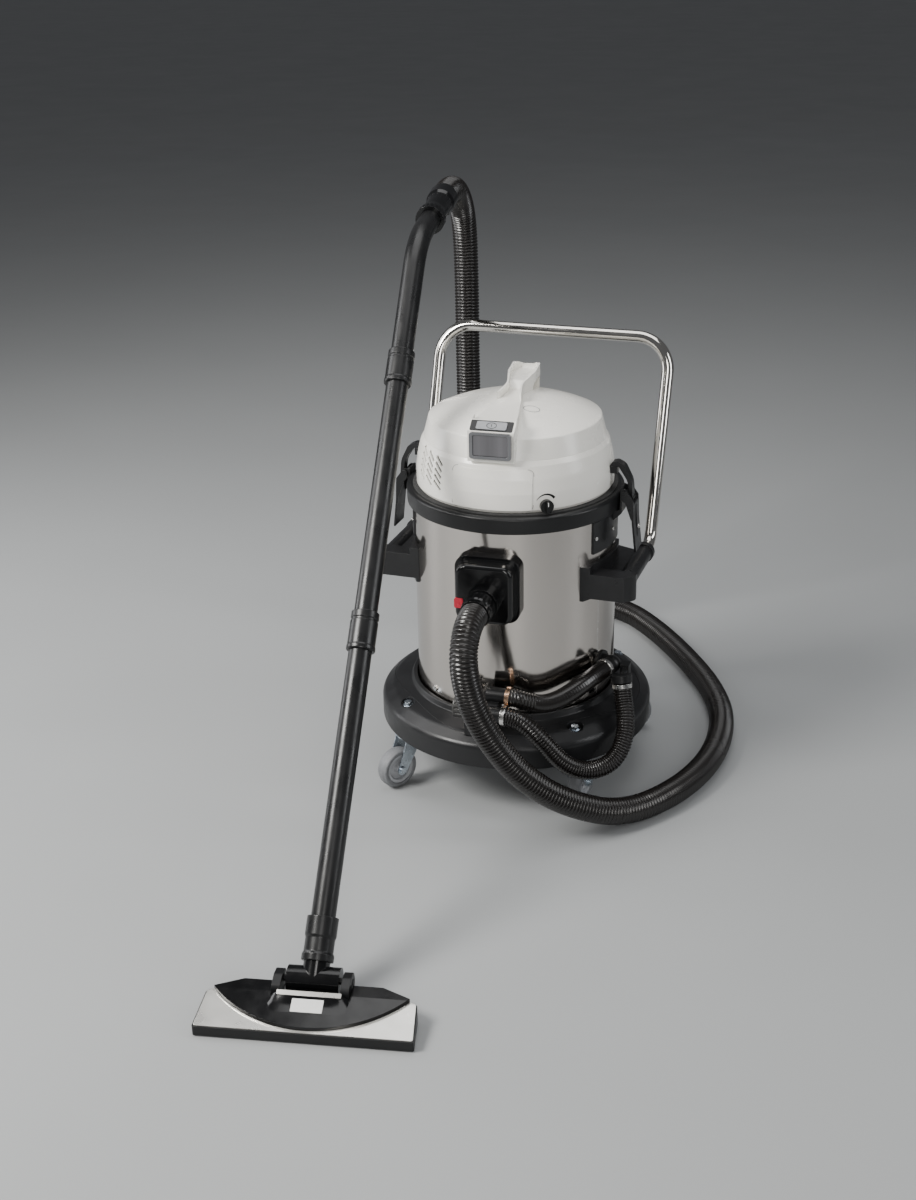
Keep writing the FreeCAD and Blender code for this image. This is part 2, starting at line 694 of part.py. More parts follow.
# ---------------------------------------------------------------- latches, drawn at +X
def make_latch_bracket():
    """Plate riveted to the tank, strap up past the collar, and two ears with the pivot pin."""
    plate = turned([(tank_r + 0.02, 458), (tank_r + 3, 458), (tank_r + 3, 516), (tank_r + 0.02, 516)])
    wedge = Part.makeBox(220, 80, 100, V(0, -80, 440))
    plate = plate.common(wedge).common(at_angle(Part.makeBox(220, 260, 100, V(0, 0, 440)), -27))
    plate = plate.fuse(turned([(tank_r + 0.02, 458), (tank_r + 3, 458), (tank_r + 3, 516), (tank_r + 0.02, 516)])
                       .common(Part.makeBox(220, 26, 100, V(0, -1, 440))))
    strap = prism_y([(182.5, 500), (182.5, 516, 2), (194.5, 520, 2), (194.5, 560, 1), (198, 560, 1), (198, 514, 4),
                     (184, 500)], -15, 15)
    px, pz = latch_pivot
    ears = []
    for y0 in (-16, 12):
        ear = prism_y([(194.5, pz - 14), (px + 2, pz - 8, 3), (px + 7, pz, 5), (px + 2, pz + 8, 3), (194.5, pz + 9)],
                      y0, y0 + 4)
        ears.append(ear)
    pin = rod(V(px, -22, pz), V(0, 1, 0), pin_r, 44)
    return union([plate, strap] + ears + [pin])


def make_latch_lever():
    px, pz = latch_pivot
    hx, hz = latch_hook_pin
    skin = prism_y([(215.5, 534, 1), (219.5, 534, 2), (221, 500, 60), (227, 447, 2), (223.5, 446, 1.5),
                    (217.5, 500, 60)], -21.5, 21.5)
    cheeks = []
    for y0 in (-21.5, 17.5):
        cheek = prism_y([(px - 6, pz - 5, 5), (px - 3, pz + 6.5, 5), (px + 4, pz + 6.5, 5), (219, 540, 4),
                         (219.3, 533), (220, 505), (216, 505, 3), (206, 533, 10)], y0, y0 + 4)
        cheek = cheek.cut(rod(V(px, -30, pz), V(0, 1, 0), pin_r + fit_gap, 60))
        cheeks.append(cheek)
    hook_pin = rod(V(hx, -21.5, hz), V(0, 1, 0), pin_r, 43)
    lever = union([skin] + cheeks + [hook_pin])
    rib = prism_y([(219, 528), (220.5, 528, 0.5), (225, 470, 1), (221.5, 470)], -2, 2)
    return lever.fuse(rib).removeSplitter()


def make_latch_hook():
    hx, hz = latch_hook_pin
    plate = prism_y([(hx - 2.6, hz - 3, 2.5), (hx + 2.6, hz - 3, 2.5), (hx + 3, hz + 8, 6), (213, 572, 40),
                     (199, 600, 14), (186, 606, 6), (177, 604, 2), (177, 596.4, 1.5), (189.5, 596.4, 3),
                     (205.5, 572, 30), (hx - 3, hz + 8, 6)], -9, 9)
    eye = rod(V(hx, -9, hz), V(0, 1, 0), 4.3, 18)
    plate = plate.fuse(eye)
    return plate.cut(rod(V(hx, -30, hz), V(0, 1, 0), pin_r + fit_gap, 60))


def make_head_catch():
    """Ledge on the head that the latch hook pulls down on."""
    block = Part.makeBox(18, 18.4, 12, V(168.5, -9.2, 584))
    return block.common(turned([(0, 570), (186.5, 570), (186.5, 600), (0, 600)]))


parts["latch_lever_right"] = make_latch_lever()
parts["latch_lever_left"] = mirrored_x(make_latch_lever())
parts["latch_hook_right"] = make_latch_hook()
parts["latch_hook_left"] = mirrored_x(make_latch_hook())
fixed_latch_parts = [make_latch_bracket(), make_head_catch()]
parts["latch_fixtures"] = group(fixed_latch_parts + [mirrored_x(shape) for shape in fixed_latch_parts])


# ---------------------------------------------------------------- push handle and its brackets
bracket_z = handle_elbow[1]
box_front = -104.0
box_back = -70.0


def make_handle_bracket():
    """Moulded arm on the tank's side: socket for the handle tube and a box arm across its end."""
    x = handle_half_width
    socket = rod(V(x, -88, bracket_z), V(0, 1, 0), 15.5, 170)
    collar = rod(V(x, 70, bracket_z), V(0, 1, 0), 18, 14)
    arm = prism_z([(152, box_front, 2), (x + 6, box_front, 4), (x + 23, box_front + 16, 16),
                   (x + 21, box_back, 6), (152, box_back, 2)], bracket_z - 23, bracket_z + 22)
    tab = prism_z([(152, box_front, 2), (166, box_front, 2), (166, box_back), (152, box_back)],
                  bracket_z + 20, bracket_z + 34)
    web = prism_z([(170, -78), (x - 8, -78), (x - 8, 64, 8), (170, 80)], bracket_z - 8, bracket_z + 8)
    pad = turned([(170, bracket_z - 30), (tank_r + 5, bracket_z - 30), (tank_r + 5, bracket_z + 34),
                  (170, bracket_z + 34)]).common(Part.makeBox(220, 150, 100, V(0, -104, bracket_z - 34)))
    shape = union([socket, collar, arm, tab, web, pad])
    shape = shape.cut(rod(V(0, 0, 300), V(0, 0, 1), tank_r + 0.05, 250))
    bore = rod(V(x, handle_front_y, bracket_z), V(0, 1, 0), handle_tube_od / 2 + 0.02, 200)
    return shape.cut(bore)


def make_push_handle():
    x = handle_half_width
    bar_y, bar_z = handle_bar
    elbow_y, elbow_z = handle_elbow
    corners = [(V(-x, handle_front_y + 1, elbow_z), 0), (V(-x, elbow_y, elbow_z), 34),
               (V(-x, bar_y, bar_z), handle_corner_r), (V(x, bar_y, bar_z), handle_corner_r),
               (V(x, elbow_y, elbow_z), 34), (V(x, handle_front_y + 1, elbow_z), 0)]
    edges = corner_edges(corners, closed=False)
    r = handle_tube_od / 2
    return swept(edges, r).cut(swept(edges, r - 1.5))


parts["handle_brackets"] = group([make_handle_bracket(), mirrored_x(make_handle_bracket())])
parts["push_handle"] = make_push_handle()


# ---------------------------------------------------------------- wand
wand_dir = unit(wand_bend - wand_foot)
end_dir = unit(wand_end_dir)
tube_joint_low = 542.0
tube_joint_high = 1005.0
sleeve_low = 60.0


def wand_point(distance):
    return wand_foot + wand_dir * distance


def ringed_sleeve(start, length):
    """Coupling sleeve with a raised lip at each end and a shallow groove."""
    bore = wand_od / 2
    r = sleeve_od / 2
    shape = turned([(bore, 0), (r, 0, 1), (r + 0.8, 2, 1), (r + 0.8, 7, 1), (r, 9, 1), (r, length - 16, 1),
                    (r - 1.2, length - 15), (r - 1.2, length - 12), (r, length - 11, 1), (r, length - 1, 1),
                    (r - 1, length, 0.5), (bore, length)])
    return along(shape, wand_point(start), wand_dir)


def make_tube(start, stop):
    return pipe(wand_point(start), wand_dir, wand_od / 2, wand_id / 2, stop - start)


def make_bent_tube():
    tip = wand_bend + end_dir * (wand_cuff_start + 50)
    edges = corner_edges([(wand_point(tube_joint_high + 1), 0), (wand_bend, wand_bend_r), (tip, 0)], closed=False)
    return swept(edges, wand_od / 2).cut(swept(edges, wand_id / 2))


def make_wand_cuff():
    """Swivel cuff at the wand's end: fluted ring, ribbed body and the hose's collar."""
    r = wand_od / 2
    length = wand_cuff_end - wand_cuff_start
    ring = fluted_ring(26, r + fit_gap, 18, 20, 1.6)
    body = turned([(r + fit_gap, 17), (23, 17), (21.5, 36, 4), (23, 80, 4), (26, 88, 1), (26, length, 1),
                   (20.5, length), (20.5, 70), (r + fit_gap, 64)])
    shape = union([ring, body])
    for i in range(16):
        a = 2 * math.pi * i / 16
        shape = shape.cut(rod(V(24.4 * math.cos(a), 24.4 * math.sin(a), 21), V(0, 0, 1), 2.4, 58))
    return along(shape, wand_bend + end_dir * wand_cuff_start, end_dir)


parts["wand_lower_tube"] = make_tube(sleeve_low, tube_joint_low - 0.5)
parts["wand_upper_tube"] = make_tube(tube_joint_low, tube_joint_high + 0.5)
parts["wand_bent_tube"] = make_bent_tube()
parts["wand_sleeves"] = group([ringed_sleeve(tube_joint_low - 34, 64), ringed_sleeve(tube_joint_high - 32, 60)])
parts["wand_cuff"] = make_wand_cuff()


# ---------------------------------------------------------------- floor nozzle, drawn with +Y towards the wand
nozzle_origin = V(wand_foot.x + hinge_v * math.sin(math.radians(nozzle_yaw)),
                  wand_foot.y - hinge_v * math.cos(math.radians(nozzle_yaw)), 0)


def nozzle_frame(shape):
    return moved(at_angle(shape, nozzle_yaw), nozzle_origin)


def nozzle_outline(inset):
    w = nozzle_half - inset
    return [(-w, inset, 3), (w, inset, 3), (w - 5, 67, 5), (104, 92 - inset, 8), (-104, 92 - inset, 8), (-w + 5, 67, 5)]


def under_slope(low, high):
    """Everything under the sloped top, from the front edge's height to the back's."""
    return prism_x([(-20, -20), (-20, low - 1.5), (0, low), (67, high), (92, high + 3), (140, high + 4), (140, -20)],
                   -200, 200)


def make_nozzle_body():
    """Black skirt with the suction slot, open underneath, and the hinge's two ears."""
    body = prism_z(nozzle_outline(0), 2, 60).common(under_slope(17, 30))
    hollow = prism_z(nozzle_outline(9), -1, 60).common(under_slope(12, 24))
    body = body.cut(hollow)
    neck_hole = Part.makeBox(88, 60, 60, V(-44, 61, 3))
    ears = []
    for x0 in (-58, 45):
        ears.append(prism_x([(61, 22), (63, 50, 8), (84, hinge_z + 15, 10), (104, hinge_z + 13, 9),
                             (110, hinge_z - 8, 8), (90, 20)], x0, x0 + 13))
    body = union([body] + ears).cut(neck_hole)
    pin_bore = rod(V(-70, hinge_v, hinge_z), V(1, 0, 0), hinge_pin_r, 140)
    body = body.cut(pin_bore)
    pins = [rod(V(x0, hinge_v, hinge_z), V(1, 0, 0), hinge_pin_r, 35.5) for x0 in (-59.5, 24)]
    return nozzle_frame(union([body] + pins))


def make_nozzle_plate():
    """Bright steel plate over the skirt's sloped top."""
    plate = prism_z(nozzle_outline(2), 2, 60).common(under_slope(18.6, 31.6)).cut(under_slope(17, 30))
    plate = plate.cut(Part.makeBox(130, 60, 60, V(-65, 54, 10)))
    return nozzle_frame(plate)


def make_nozzle_cover():
    """Black cover with a bowed front edge and a straight back."""
    bow = Part.makeCylinder(196, 60, V(0, 201, 0), V(0, 0, 1))
    cover = prism_z(nozzle_outline(3), 2, 60).common(bow)
    cover = cover.common(under_slope(25, 38)).cut(under_slope(18.6, 31.6))
    cover = cover.cut(Part.makeBox(118, 60, 60, V(-59, 60, 10)))
    return nozzle_frame(cover)


def make_nozzle_strips():
    """Front and back rubber strips that touch the floor."""
    strips = [Part.makeBox(2 * nozzle_half - 34, 5, 11, V(-nozzle_half + 17, 10, 0)),
              Part.makeBox(2 * nozzle_half - 80, 5, 11, V(-nozzle_half + 40, 66, 0))]
    return nozzle_frame(group(strips))


def make_nozzle_neck():
    """Tilting cross tube with the socket that the swivel sleeve turns in."""
    cross = pipe(V(-39.6, hinge_v, hinge_z), V(1, 0, 0), 20, hinge_pin_r + fit_gap, 79.2)
    local_dir = wand_local_dir()
    trunk = rod(V(0, hinge_v, hinge_z), local_dir, 20, 46)
    neck = union([cross, trunk])
    neck = neck.cut(rod(V(0, hinge_v, hinge_z) + local_dir * 12, local_dir, 15, 60))
    neck = neck.cut(rod(V(-50, hinge_v, hinge_z), V(1, 0, 0), hinge_pin_r + fit_gap, 100))
    return nozzle_frame(neck)


def wand_local_dir():
    a = math.radians(-nozzle_yaw)
    d = wand_dir
    return V(d.x * math.cos(a) - d.y * math.sin(a), d.x * math.sin(a) + d.y * math.cos(a), d.z)


def make_nozzle_sleeve():
    """Swivel sleeve between the neck's socket and the lower tube."""
    bore = wand_od / 2
    shape = turned([(20 + fit_gap, 26), (24.5, 26, 1.5), (24.5, 36, 1.5), (22.5, 40, 3), (22.5, 60, 2), (24, 64, 2),
                    (24, 92, 1.5), (bore, 92), (bore, 60), (bore - 2, 58), (bore - 2, 47), (20 + fit_gap, 46.4)])
    return along(shape, wand_foot, wand_dir)


parts["nozzle_body"] = make_nozzle_body()
parts["nozzle_plate"] = make_nozzle_plate()
parts["nozzle_cover"] = make_nozzle_cover()
parts["nozzle_strips"] = make_nozzle_strips()
parts["nozzle_neck"] = make_nozzle_neck()
parts["nozzle_sleeve"] = make_nozzle_sleeve()


# ---------------------------------------------------------------- place and write
cords = ("main_hose", "drain_hose", "drain_link_hose")
box = FreeCAD.BoundBox()
for name, shape in parts.items():
    if name not in cords:
        box.add(shape.optimalBoundingBox(True, False))
origin_shift = V(-box.Center.x, -box.Center.y, -box.ZMin)
print("shift", tuple(round(v, 4) for v in origin_shift), "size",
      [round(v, 1) for v in (box.XLength, box.YLength, box.ZLength)], "nodes", len(parts))
for name, shape in parts.items():
    if not shape.isValid():
        print("not valid:", name)
    moved(shape, origin_shift).exportStep("parts/" + name + ".step")
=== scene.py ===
import bpy
import json
import math
from mathutils import Matrix, Vector

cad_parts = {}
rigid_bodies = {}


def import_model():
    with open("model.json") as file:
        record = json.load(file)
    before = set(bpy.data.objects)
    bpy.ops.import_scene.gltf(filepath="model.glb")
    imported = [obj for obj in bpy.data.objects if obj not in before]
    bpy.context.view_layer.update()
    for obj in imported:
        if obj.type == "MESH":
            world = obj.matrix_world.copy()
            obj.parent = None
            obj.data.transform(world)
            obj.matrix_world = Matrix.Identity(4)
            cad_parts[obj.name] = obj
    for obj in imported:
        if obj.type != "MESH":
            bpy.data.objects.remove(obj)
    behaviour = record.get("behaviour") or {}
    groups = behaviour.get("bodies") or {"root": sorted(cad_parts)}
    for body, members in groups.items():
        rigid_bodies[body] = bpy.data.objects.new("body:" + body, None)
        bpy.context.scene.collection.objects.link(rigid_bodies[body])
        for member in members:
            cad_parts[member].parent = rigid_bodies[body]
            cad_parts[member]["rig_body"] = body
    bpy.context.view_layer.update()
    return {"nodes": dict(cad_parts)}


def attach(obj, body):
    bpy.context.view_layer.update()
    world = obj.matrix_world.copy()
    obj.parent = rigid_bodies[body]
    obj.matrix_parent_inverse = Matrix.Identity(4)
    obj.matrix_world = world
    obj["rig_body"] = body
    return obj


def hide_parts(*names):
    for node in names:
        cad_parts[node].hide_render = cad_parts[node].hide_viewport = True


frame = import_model()
nodes = frame["nodes"]
ROOT = "machine"
TANK_AXIS = Vector((0.0, 0.3402612, 0.0))
FRONT_TURN = math.radians(3.2)
SHARP_ANGLE = math.radians(40)
DOWN = Vector((0, 0, -1))
UP = Vector((0, 0, 1))


def at(x, y, z):
    """Millimetres about the tank's axis, as in the CAD source, to metres in the row frame."""
    return Vector((x / 1000, y / 1000, z / 1000)) + TANK_AXIS


def head_at(x, y, z):
    """The same, turned to where the head and the inlet face."""
    c, s = math.cos(FRONT_TURN), math.sin(FRONT_TURN)
    return at(x * c - y * s, x * s + y * c, z)


# ---------------------------------------------------------------- camera
CAMERA_PLACE = at(796.6, -2567.1, 1505.7)
CAMERA_TURN, CAMERA_DROP, CAMERA_ROLL = (math.radians(a) for a in (19.5, 23.8194, -1.10942))
CAMERA_LENS, CAMERA_SENSOR = 48.0, 36.0


def make_camera():
    turn, drop, roll = CAMERA_TURN, CAMERA_DROP, CAMERA_ROLL
    level = math.cos(drop)
    forward = Vector((-math.sin(turn) * level, math.cos(turn) * level, -math.sin(drop)))
    side = Vector((math.cos(turn), math.sin(turn), 0))
    rise = side.cross(forward)
    right = side * math.cos(roll) + rise * math.sin(roll)
    up = rise * math.cos(roll) - side * math.sin(roll)
    data = bpy.data.cameras.new("camera")
    data.lens = CAMERA_LENS
    data.sensor_width = CAMERA_SENSOR
    data.clip_end = 60
    cam = bpy.data.objects.new("camera", data)
    bpy.context.scene.collection.objects.link(cam)
    place = Matrix.Identity(4)
    for i in range(3):
        place[i][0], place[i][1], place[i][2] = right[i], up[i], -forward[i]
    place.translation = CAMERA_PLACE
    cam.matrix_world = place
    bpy.context.scene.camera = cam


make_camera()


# ---------------------------------------------------------------- materials
class Look:
    """A procedural material: a Principled shader, with helpers for tint, wear and grain."""

    def __init__(self, name, colour, rough, metallic=0.0, **sockets):
        self.material = bpy.data.materials.new(name)
        self.material.use_nodes = True
        self.tree = self.material.node_tree
        self.shader = self.tree.nodes["Principled BSDF"]
        self.colour, self.rough = colour, rough
        self.shader.inputs["Base Color"].default_value = (*colour, 1)
        self.shader.inputs["Roughness"].default_value = rough
        self.shader.inputs["Metallic"].default_value = metallic
        for key, value in sockets.items():
            self.shader.inputs[key.replace("_", " ")].default_value = value
        self.coords = self.tree.nodes.new("ShaderNodeTexCoord")
        self.height = None

    def add(self, kind, **values):
        node = self.tree.nodes.new(kind)
        for key, value in values.items():
            setattr(node, key, value)
        return node

    def link(self, a, b):
        self.tree.links.new(a, b)

    def noise(self, scale, detail=3.0, stretch=(1, 1, 1)):
        mapping = self.add("ShaderNodeMapping")
        mapping.inputs["Scale"].default_value = stretch
        noise = self.add("ShaderNodeTexNoise")
        noise.inputs["Scale"].default_value = scale
        noise.inputs["Detail"].default_value = detail
        self.link(self.coords.outputs["Object"], mapping.inputs["Vector"])
        self.link(mapping.outputs["Vector"], noise.inputs["Vector"])
        return noise.outputs["Fac"]

    def ranged(self, source, low, high, start=0.3, stop=0.7):
        node = self.add("ShaderNodeMapRange")
        node.inputs["From Min"].default_value = start
        node.inputs["From Max"].default_value = stop
        node.inputs["To Min"].default_value = low
        node.inputs["To Max"].default_value = high
        self.link(source, node.inputs["Value"])
        return node.outputs["Result"]

    def tint(self, scale, amount, detail=3.0, stretch=(1, 1, 1)):
        """Lighter and darker patches of the base colour."""
        ramp = self.add("ShaderNodeValToRGB")
        dark = tuple(c * (1 - amount) for c in self.colour)
        light = tuple(min(1, c * (1 + amount)) for c in self.colour)
        ramp.color_ramp.elements[0].position = 0.32
        ramp.color_ramp.elements[1].position = 0.68
        ramp.color_ramp.elements[0].color = (*dark, 1)
        ramp.color_ramp.elements[1].color = (*light, 1)
        self.link(self.noise(scale, detail, stretch), ramp.inputs["Fac"])
        self.link(ramp.outputs["Color"], self.shader.inputs["Base Color"])
        return self

    def wear(self, scale, spread, detail=4.0, stretch=(1, 1, 1)):
        """Roughness that wanders about its middle value."""
        source = self.noise(scale, detail, stretch)
        result = self.ranged(source, max(0.02, self.rough - spread), self.rough + spread)
        self.link(result, self.shader.inputs["Roughness"])
        return self

    def bump(self, source, distance, strength=1.0):
        node = self.add("ShaderNodeBump")
        node.inputs["Distance"].default_value = distance
        node.inputs["Strength"].default_value = strength
        self.link(source, node.inputs["Height"])
        if self.height is not None:
            self.link(self.height, node.inputs["Normal"])
        self.height = node.outputs["Normal"]
        self.link(self.height, self.shader.inputs["Normal"])
        return self

    def grain(self, scale, distance, detail=2.0, stretch=(1, 1, 1)):
        return self.bump(self.noise(scale, detail, stretch), distance)

    def rounded(self, radius):
        """Softens hard edges in the shading."""
        node = self.add("ShaderNodeBevel", samples=4)
        node.inputs["Radius"].default_value = radius
        self.height = node.outputs["Normal"]
        self.link(self.height, self.shader.inputs["Normal"])
        return self


def make_looks():
    """Every look by its short name; each call's noise nodes are added in the order written."""
    looks = {}
    looks["stainless"] = (
        Look("stainless", (0.56, 0.525, 0.49), 0.13, 1.0, Anisotropic=0.25)
        .tint(6, 0.04, 2, (1, 1, 0.15)).wear(14, 0.03, 3, (1, 1, 0.08))
        .grain(900, 0.000004, 2, (1, 1, 0.02)))
    looks["tube"] = (
        Look("stainless_tube", (0.74, 0.715, 0.67), 0.10, 1.0)
        .wear(30, 0.04, 3).grain(700, 0.000004, 2))
    looks["ivory"] = (
        Look("ivory", (0.90, 0.882, 0.825), 0.25, 0.0, Coat_Weight=0.25, Coat_Roughness=0.18)
        .rounded(0.0012).tint(9, 0.015).wear(22, 0.05).grain(260, 0.00003))
    looks["black"] = (
        Look("black_moulding", (0.0075, 0.0077, 0.0082), 0.36, 0.0, Specular_IOR_Level=0.4)
        .rounded(0.0012).tint(18, 0.18).wear(35, 0.08).grain(1400, 0.00005))
    looks["gloss_black"] = (
        Look("gloss_black", (0.0045, 0.0046, 0.005), 0.16, 0.0, Specular_IOR_Level=0.45)
        .rounded(0.0008).tint(30, 0.15).wear(40, 0.06).grain(300, 0.00002))
    looks["dolly"] = (
        Look("dolly_plastic", (0.0125, 0.0128, 0.0138), 0.38, 0.0, Specular_IOR_Level=0.4)
        .rounded(0.0015).tint(11, 0.16).wear(24, 0.09).grain(1500, 0.00006))
    looks["hose"] = (
        Look("hose", (0.0085, 0.007, 0.0063), 0.27, 0.0, Specular_IOR_Level=0.6)
        .tint(9, 0.03).wear(8, 0.03))
    looks["zinc"] = (
        Look("zinc", (0.56, 0.62, 0.68), 0.28, 1.0)
        .rounded(0.0006).tint(120, 0.10, 5).wear(90, 0.10).grain(600, 0.00001))
    looks["steel"] = (
        Look("screw_steel", (0.70, 0.69, 0.67), 0.22, 1.0)
        .rounded(0.0004).tint(200, 0.08).wear(160, 0.08))
    looks["tyre"] = (
        Look("tyre", (0.19, 0.195, 0.205), 0.55)
        .rounded(0.001).tint(60, 0.14).wear(80, 0.1).grain(700, 0.00008))
    looks["hub"] = (
        Look("hub", (0.42, 0.43, 0.45), 0.38)
        .rounded(0.0008).tint(50, 0.06).wear(70, 0.08).grain(500, 0.00003))
    looks["red"] = (
        Look("red_button", (0.60, 0.018, 0.045), 0.30, 0.0, Coat_Weight=0.3)
        .rounded(0.0008).tint(90, 0.08).wear(60, 0.06).grain(600, 0.00002))
    looks["silver"] = (
        Look("silver_paint", (0.30, 0.305, 0.315), 0.34, 0.8)
        .rounded(0.0006).tint(300, 0.05).wear(90, 0.05).grain(1800, 0.00001))
    looks["lens"] = (
        Look("smoked_lens", (0.15, 0.147, 0.158), 0.16, 0.45, Coat_Weight=0.6, Coat_Roughness=0.05)
        .rounded(0.0006).tint(60, 0.16, 2, (1, 1, 0.03)).wear(40, 0.04).grain(90, 0.00002))
    looks["latch"] = (
        Look("latch_grey", (0.0125, 0.0127, 0.0135), 0.34, 0.0, Specular_IOR_Level=0.42)
        .rounded(0.0008).tint(40, 0.15).wear(50, 0.08).grain(900, 0.00003))
    looks["wand"] = (
        Look("wand_plastic", (0.0105, 0.0107, 0.0112), 0.30, 0.0, Specular_IOR_Level=0.42)
        .rounded(0.0006).tint(25, 0.15, 3, (1, 1, 0.3)).wear(40, 0.07, 3, (1, 1, 0.3))
        .grain(1200, 0.00003))
    looks["cap"] = (
        Look("cap_grey", (0.045, 0.044, 0.042), 0.33)
        .rounded(0.0008).tint(60, 0.15).wear(60, 0.08).grain(900, 0.00003))
    # foam look: the gasket's own foam colour, and painted shade on the dark sheet behind the vent
    # slots
    looks["foam"] = Look("foam", (0.03, 0.03, 0.03), 0.8).tint(200, 0.3).grain(1500, 0.0002)
    looks["cage"] = (
        Look("cage_plastic", (0.55, 0.54, 0.52), 0.5)
        .tint(40, 0.06).grain(400, 0.00004))
    looks["paper"] = (
        Look("filter_paper", (0.78, 0.76, 0.70), 0.8)
        .tint(60, 0.06).grain(800, 0.0001))
    looks["motor"] = (
        Look("motor_steel", (0.35, 0.36, 0.38), 0.4, 0.7)
        .tint(60, 0.1).grain(500, 0.00003))
    looks["plate"] = (
        Look("bright_plate", (0.80, 0.79, 0.75), 0.30, 0.85)
        .rounded(0.0005).tint(20, 0.03).wear(30, 0.05, 3).grain(70, 0.00003))
    looks["chrome"] = (
        Look("dark_chrome", (0.30, 0.30, 0.312), 0.14, 1.0)
        .rounded(0.0008).tint(50, 0.06).wear(60, 0.05))
    looks["copper"] = (
        Look("clamp_copper", (0.62, 0.40, 0.27), 0.28, 1.0)
        .rounded(0.0004).tint(120, 0.08).wear(90, 0.07))
    looks["label"] = (
        Look("blank_label", (0.80, 0.80, 0.78), 0.42)
        .rounded(0.0004).tint(80, 0.04).wear(60, 0.06))
    looks["line"] = Look("fine_line", (0.30, 0.295, 0.28), 0.5).tint(80, 0.1).wear(50, 0.06)
    looks["strip"] = (
        Look("strip_rubber", (0.025, 0.025, 0.025), 0.6)
        .tint(60, 0.2).grain(700, 0.0001))
    return {name: look.material for name, look in looks.items()}


looks = make_looks()
look_nodes = {
    "dolly": ["base_dolly"],
    "zinc": ["caster_stems"],
    "stainless": ["tank"],
    "tube": ["push_handle"],
    "steel": ["tank_screws", "motor_rotor"],
    "black": ["collar_ring", "drain_fittings", "motor_plate", "cable_gland", "nozzle_body"],
    "gloss_black": ["inlet_housing", "inlet_socket", "inlet_cuff", "suction_knob", "wand_cuff",
                    "nozzle_cover", "nozzle_neck"],
    "red": ["release_button"],
    "hose": ["main_hose", "drain_hose", "drain_link_hose"],
    "cap": ["drain_cap"],
    "cage": ["float_ball", "filter_cage"],
    "paper": ["filter_cartridge"],
    "ivory": ["head_band", "head_dome", "carry_handle", "front_panel"],
    "chrome": ["switch_bezel"],
    "lens": ["switch_lens"],
    "silver": ["power_button"],
    "foam": ["gasket"],
    "motor": ["motor"],
    "latch": ["latch_lever_right", "latch_lever_left", "latch_hook_right", "latch_hook_left",
              "latch_fixtures", "handle_brackets"],
    "wand": ["wand_lower_tube", "wand_upper_tube", "wand_bent_tube", "wand_sleeves",
             "nozzle_sleeve"],
    "plate": ["nozzle_plate"],
    "strip": ["nozzle_strips"],
    "tyre": [],
    "hub": [],
}
for corner in ("fl", "fr", "rr", "rl"):
    for look, part in (("zinc", "caster_fork_"), ("tyre", "caster_tyre_"), ("hub", "caster_hub_")):
        look_nodes[look].append(part + corner)
for look, names in look_nodes.items():
    for name in names:
        mesh = nodes[name].data
        mesh.materials.clear()
        mesh.materials.append(looks[look])


# ---------------------------------------------------------------- mesh helpers
def piece(name, points, faces, look, body=ROOT, smooth=True):
    """New object from points in metres, riding on a CAD body."""
    mesh = bpy.data.meshes.new(name)
    mesh.from_pydata([tuple(p) for p in points], [], faces)
    mesh.validate()
    mesh.update()
    if smooth:
        mesh.shade_smooth()
        mesh.set_sharp_from_angle(angle=SHARP_ANGLE)
    mesh.materials.append(looks[look])
    made = bpy.data.objects.new(name, mesh)
    bpy.context.scene.collection.objects.link(made)
    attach(made, body)
    return made


def spline_points(route, resolution):
    """Points of the NURBS line that has the route as its control points."""
    curve = bpy.data.curves.new("route", "CURVE")
    curve.dimensions = "3D"
    curve.resolution_u = resolution
    spline = curve.splines.new("NURBS")
    spline.points.add(len(route) - 1)
    for point, place in zip(spline.points, route):
        point.co = (*place, 1)
    spline.order_u = 3
    spline.use_endpoint_u = True
    carrier = bpy.data.objects.new("route", curve)
    mesh = bpy.data.meshes.new_from_object(carrier)
    points = [v.co.copy() for v in mesh.vertices]
    bpy.data.objects.remove(carrier)
    bpy.data.curves.remove(curve)
    bpy.data.meshes.remove(mesh)
    return points


def evenly(points, step):
    """The same line with points a fixed step apart."""
    total = sum((b - a).length for a, b in zip(points, points[1:]))
    count = max(2, round(total / step))
    step = total / count
    made, walked, i = [points[0].copy()], 0.0, 0
    for k in range(1, count):
        want = k * step
        while walked + (points[i + 1] - points[i]).length < want:
            walked += (points[i + 1] - points[i]).length
            i += 1
        share = (want - walked) / (points[i + 1] - points[i]).length
        made.append(points[i].lerp(points[i + 1], share))
    made.append(points[-1].copy())
    return made, total


def carried_frames(points):
    """Tangent and side directions along a line, without twist."""
    tangents = []
    for i in range(len(points)):
        tangents.append((points[min(i + 1, len(points) - 1)] - points[max(i - 1, 0)]).normalized())
    side = tangents[0].orthogonal().normalized()
    frames = []
    for tangent in tangents:
        side = (side - tangent * side.dot(tangent)).normalized()
        frames.append((tangent, side, tangent.cross(side)))
    return frames


def tube(name, points, radius_at, look, segments, body):
    """Tube with closed ends along points; radius_at gives the radius at a point's number."""
    frames = carried_frames(points)
    verts, faces = [], []
    for i, (point, (_, side, other)) in enumerate(zip(points, frames)):
        r = radius_at(i)
        for k in range(segments):
            a = 2 * math.pi * k / segments
            verts.append(point + side * (r * math.cos(a)) + other * (r * math.sin(a)))
    for i in range(len(points) - 1):
        for k in range(segments):
            a, b = i * segments + k, i * segments + (k + 1) % segments
            faces.append((a, b, b + segments, a + segments))
    last = (len(points) - 1) * segments
    faces += [tuple(reversed(range(segments))), tuple(range(last, last + segments))]
    return piece(name, verts, faces, look, body, True)


